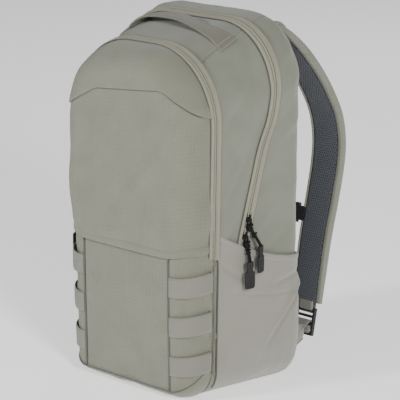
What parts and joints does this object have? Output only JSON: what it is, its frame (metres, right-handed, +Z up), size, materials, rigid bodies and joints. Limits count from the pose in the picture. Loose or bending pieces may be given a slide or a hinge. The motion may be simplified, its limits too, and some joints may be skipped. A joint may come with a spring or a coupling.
{
  "type": "day pack",
  "caption": "Day pack with a zipped main compartment, zipped front pocket, stretch side pockets, haul handle and padded shoulder straps.",
  "frame": {"origin": "on the floor under the middle of the base", "axes": "+Z up, -Y towards the front pocket, +Y towards the wearer's back, +X towards the side pocket under the main zip's sliders"},
  "size_m": [0.2816, 0.2927, 0.466],
  "materials": {
    "shell_ripstop": "matte ripstop weave",
    "side_fabric": "matte plain weave",
    "zip_tape": "matte coated zip tape",
    "webbing": "flat woven webbing",
    "stretch_fabric": "matte stretch knit",
    "foam": "closed-cell foam",
    "air_mesh": "spacer mesh",
    "strap_fabric": "matte weave with a dark mesh face",
    "frame_plastic": "smooth sheet",
    "lining": "thin lining",
    "back_fabric": "dark matte weave",
    "slider_metal": "satin black",
    "pull_cord": "braided cord",
    "tab_rubber": "matte moulded",
    "black_plastic": "fine moulded grain"
  },
  "bodies": {
    "pack": {"base_panel": "shell_ripstop", "lower_front_panel": "shell_ripstop", "corner_panel_right": "shell_ripstop", "corner_panel_left": "shell_ripstop", "rear_top_panel": "side_fabric", "side_panel_right": "side_fabric", "side_panel_left": "side_fabric", "back_wall": "back_fabric", "main_zip_rear_tape": "zip_tape", "corner_webbing_1_right": "webbing", "corner_webbing_1_left": "webbing", "corner_webbing_2_right": "webbing", "corner_webbing_2_left": "webbing", "corner_webbing_3_right": "webbing", "corner_webbing_3_left": "webbing", "side_pocket_right": "stretch_fabric", "side_pocket_left": "stretch_fabric", "pocket_hem_right": "stretch_fabric", "pocket_hem_left": "stretch_fabric", "back_pad_foam": "foam", "back_pad_mesh": "air_mesh", "frame_sheet": "frame_plastic", "laptop_sleeve_wall": "lining", "strap_yoke": "back_fabric", "adjuster_webbing_right": "webbing", "adjuster_webbing_left": "webbing", "strap_wing_right": "side_fabric", "strap_wing_left": "side_fabric"},
    "main_lid": {"lid_top_panel": "side_fabric", "lid_side_right": "side_fabric", "lid_side_left": "side_fabric", "front_divider": "lining", "front_zip_rear_tape": "zip_tape", "main_zip_front_tape": "zip_tape", "haul_handle": "webbing"},
    "front_flap": {"front_panel": "shell_ripstop", "front_yoke": "shell_ripstop", "front_zip_front_tape": "zip_tape"},
    "main_upper_slider": {"main_upper_slider": "slider_metal"},
    "main_lower_slider": {"main_lower_slider": "slider_metal"},
    "front_slider": {"front_slider": "slider_metal"},
    "main_upper_pull": {"main_upper_cord": "pull_cord", "main_upper_tab": "tab_rubber"},
    "main_lower_pull": {"main_lower_cord": "pull_cord", "main_lower_tab": "tab_rubber"},
    "front_pull": {"front_cord": "pull_cord", "front_tab": "tab_rubber"},
    "strap_right": {"strap_cover_right": "strap_fabric", "strap_foam_right": "foam"},
    "strap_left": {"strap_cover_left": "strap_fabric", "strap_foam_left": "foam"},
    "lock_right": {"ladder_lock_right": "black_plastic"},
    "lock_left": {"ladder_lock_left": "black_plastic"},
    "sternum_right": {"sternum_carriage_right": "black_plastic", "sternum_webbing_right": "webbing", "sternum_buckle_socket": "black_plastic"},
    "sternum_left": {"sternum_carriage_left": "black_plastic"},
    "sternum_plug": {"sternum_webbing_left": "webbing", "sternum_buckle_plug": "black_plastic"}
  },
  "joints": [
    {"name": "main_lid_open", "type": "hinge", "parent": "pack", "child": "main_lid", "pos_m": [0, -0.093, 0.185], "axis": [1, 0, 0], "range_deg": [0, 40]},
    {"name": "front_flap_open", "type": "hinge", "parent": "main_lid", "child": "front_flap", "pos_m": [0, -0.093, 0.185], "axis": [1, 0, 0], "range_deg": [0, 75]},
    {"name": "main_upper_slider_travel", "type": "slide", "parent": "pack", "child": "main_upper_slider", "axis": [0.0519, 0.2386, 0.9697], "range_m": [0, 0.06]},
    {"name": "main_lower_slider_travel", "type": "slide", "parent": "pack", "child": "main_lower_slider", "axis": [0.0528, 0.2386, 0.9697], "range_m": [-0.004, 0.004]},
    {"name": "front_slider_travel", "type": "slide", "parent": "main_lid", "child": "front_slider", "axis": [-0.0194, 0, 0.9998], "range_m": [0, 0.12]},
    {"name": "main_upper_pull_flip", "type": "hinge", "parent": "main_upper_slider", "child": "main_upper_pull", "pos_m": [0.1223, 0.00127, 0.22596], "axis": [-0.1529, -0.9577, 0.2438], "range_deg": [0, 130]},
    {"name": "main_lower_pull_flip", "type": "hinge", "parent": "main_lower_slider", "child": "main_lower_pull", "pos_m": [0.12115, -0.0039, 0.20496], "axis": [-0.1543, -0.9574, 0.244], "range_deg": [0, 90]},
    {"name": "front_pull_flip", "type": "hinge", "parent": "front_slider", "child": "front_pull", "pos_m": [-0.11352, -0.05052, 0.20494], "axis": [-0.1608, 0.987, -0.0031], "range_deg": [0, 130]},
    {"name": "strap_right_swing", "type": "hinge", "parent": "pack", "child": "strap_right", "pos_m": [0, 0.095, 0.448], "axis": [1, 0, 0], "range_deg": [0, 25], "deforming": ["adjuster_webbing_right"]},
    {"name": "strap_left_swing", "type": "hinge", "parent": "pack", "child": "strap_left", "pos_m": [0, 0.095, 0.448], "axis": [1, 0, 0], "range_deg": [0, 25], "deforming": ["adjuster_webbing_left"]},
    {"name": "lock_right_tilt", "type": "hinge", "parent": "strap_right", "child": "lock_right", "pos_m": [0.095, 0.148, 0.0725], "axis": [1, 0, 0], "range_deg": [-8, 45]},
    {"name": "lock_left_tilt", "type": "hinge", "parent": "strap_left", "child": "lock_left", "pos_m": [-0.095, 0.148, 0.0725], "axis": [1, 0, 0], "range_deg": [-8, 45]},
    {"name": "sternum_right_height", "type": "slide", "parent": "strap_right", "child": "sternum_right", "axis": [0, 0.2476, 0.9689], "range_m": [-0.025, 0.025]},
    {"name": "sternum_left_height", "type": "slide", "parent": "strap_left", "child": "sternum_left", "axis": [0, 0.2476, 0.9689], "range_m": [-0.025, 0.025]},
    {"name": "sternum_unclip", "type": "slide", "parent": "sternum_left", "child": "sternum_plug", "axis": [-1, 0, 0], "range_m": [0, 0.0135], "deforming": ["sternum_webbing_left"]}
  ],
  "couplings": [
    {"joint": "strap_left_swing", "follows": "strap_right_swing", "ratio": 1},
    {"joint": "sternum_left_height", "follows": "sternum_right_height", "ratio": 1}
  ]
}
